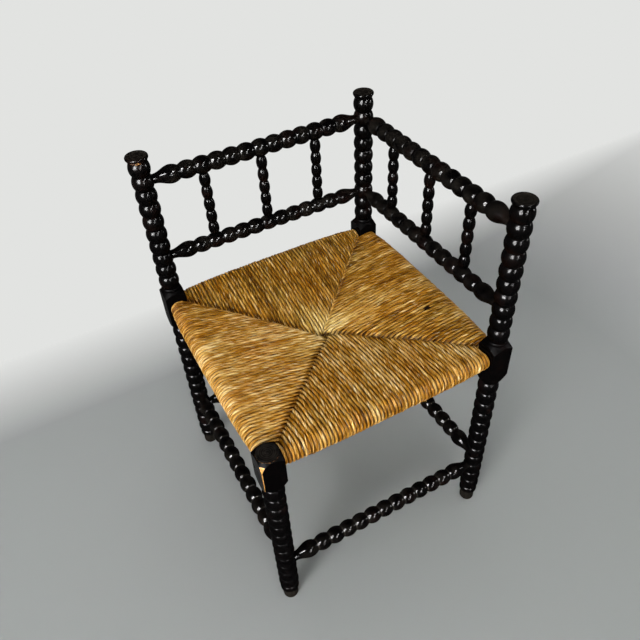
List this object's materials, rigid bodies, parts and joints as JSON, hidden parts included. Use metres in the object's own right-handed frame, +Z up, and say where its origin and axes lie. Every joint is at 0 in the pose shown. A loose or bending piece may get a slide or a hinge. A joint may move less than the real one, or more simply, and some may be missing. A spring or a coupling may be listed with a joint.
{
  "type": "corner chair",
  "caption": "Corner chair of bobbin-turned dark wood, with a spindled back and arm that meet at a corner post, beaded stretchers and a woven rush seat.",
  "frame": {"origin": "on the floor, under the middle of the square seat, half way between the four post axes", "axes": "+Z up; the spindled back stands along +Y and the spindled arm along +X, so the corner post is at +X +Y and the short front leg at -X -Y"},
  "size_m": [0.448, 0.448, 0.717],
  "materials": {
    "ebonised_wood": "turned hardwood, stained near black and waxed, glossy on the beads, worn at edges",
    "seat_rail_wood": "plain turned hardwood, unfinished, covered by the rush",
    "rush_cord": "twisted dry rush, golden to brown, satin",
    "loose_rush": "loose dry rush, pushed in as packing"
  },
  "bodies": {
    "root": {"left_post": "ebonised_wood", "corner_post": "ebonised_wood", "right_post": "ebonised_wood", "front_leg": "ebonised_wood", "back_top_rail": "ebonised_wood", "arm_top_rail": "ebonised_wood", "back_lower_rail": "ebonised_wood", "arm_lower_rail": "ebonised_wood", "back_spindle_left": "ebonised_wood", "back_spindle_middle": "ebonised_wood", "back_spindle_right": "ebonised_wood", "arm_spindle_rear": "ebonised_wood", "arm_spindle_middle": "ebonised_wood", "arm_spindle_front": "ebonised_wood", "front_stretcher": "ebonised_wood", "back_stretcher": "ebonised_wood", "left_stretcher": "ebonised_wood", "right_stretcher": "ebonised_wood", "front_seat_rail": "seat_rail_wood", "back_seat_rail": "seat_rail_wood", "left_seat_rail": "seat_rail_wood", "right_seat_rail": "seat_rail_wood", "rush_seat": "rush_cord", "front_packing": "loose_rush", "back_packing": "loose_rush", "left_packing": "loose_rush", "right_packing": "loose_rush"}
  },
  "joints": []
}
